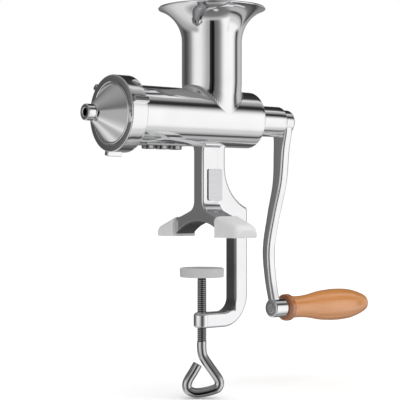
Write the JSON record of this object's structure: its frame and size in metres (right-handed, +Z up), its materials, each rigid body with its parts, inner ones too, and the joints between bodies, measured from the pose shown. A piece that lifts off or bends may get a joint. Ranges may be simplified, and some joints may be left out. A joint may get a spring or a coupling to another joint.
{
  "type": "manual auger juicer",
  "caption": "Table-clamped stainless hand juicer: trumpet hopper over an auger barrel, cone cap in a lock ring, S-shaped crank with a wooden grip, padded clamp.",
  "frame": {"origin": "on the clamp screw's axis, in the plane of the foot caps' soles, which is the table top", "axes": "+X along the barrel from the pulp nozzle to the crank, +Y across it, +Z up"},
  "size_m": [0.3856, 0.132, 0.3968],
  "materials": {
    "polished_steel": "mirror-polished stainless steel",
    "satin_steel": "satin stainless steel",
    "white_plastic": "satin moulded white plastic",
    "white_silicone": "soft white silicone",
    "lacquered_wood": "clear-lacquered turned hardwood"
  },
  "bodies": {
    "frame": {"barrel": "polished_steel", "hopper": "polished_steel", "juice_outlet": "polished_steel", "clamp_frame": "polished_steel", "name_plate": "satin_steel", "rear_bush": "white_plastic", "strainer": "satin_steel", "foot_cap_near": "white_plastic", "foot_cap_far": "white_plastic"},
    "crank": {"auger": "satin_steel", "thrust_washer": "satin_steel", "crank_arm": "polished_steel", "hub_screw": "satin_steel", "grip_bolt": "polished_steel", "grip_washer": "satin_steel"},
    "grip": {"wooden_grip": "lacquered_wood"},
    "cap": {"end_cap": "polished_steel", "pulp_nozzle": "polished_steel", "seal_ring": "white_silicone"},
    "ring": {"lock_ring": "polished_steel"},
    "pad": {"pad_cap": "white_plastic", "pad_plate": "satin_steel"},
    "screw": {"clamp_screw": "polished_steel", "screw_clip": "satin_steel"}
  },
  "joints": [
    {"name": "crank_turn", "type": "hinge", "parent": "frame", "child": "crank", "pos_m": [0.105, 0, 0.1206], "axis": [1, 0, 0], "continuous": true},
    {"name": "grip_spin", "type": "hinge", "parent": "crank", "child": "grip", "pos_m": [0.18, 0.0124, -0.0783], "axis": [1, 0, 0], "continuous": true},
    {"name": "cap_release", "type": "slide", "parent": "frame", "child": "cap", "axis": [-1, 0, 0], "range_m": [0, 0.012]},
    {"name": "ring_turn", "type": "hinge", "parent": "cap", "child": "ring", "pos_m": [-0.102, 0, 0.1206], "axis": [-1, 0, 0], "range_deg": [0, 1440]},
    {"name": "clamp_travel", "type": "slide", "parent": "frame", "child": "pad", "axis": [0, 0, 1], "range_m": [-0.0355, 0.016]},
    {"name": "screw_turn", "type": "hinge", "parent": "pad", "child": "screw", "pos_m": [0, 0, -0.08], "axis": [0, 0, 1], "range_deg": [-6390, 2880]}
  ],
  "couplings": [
    {"joint": "cap_release", "follows": "ring_turn", "m_per_rad": 0.00047746},
    {"joint": "clamp_travel", "follows": "screw_turn", "m_per_rad": 0.00031831}
  ]
}
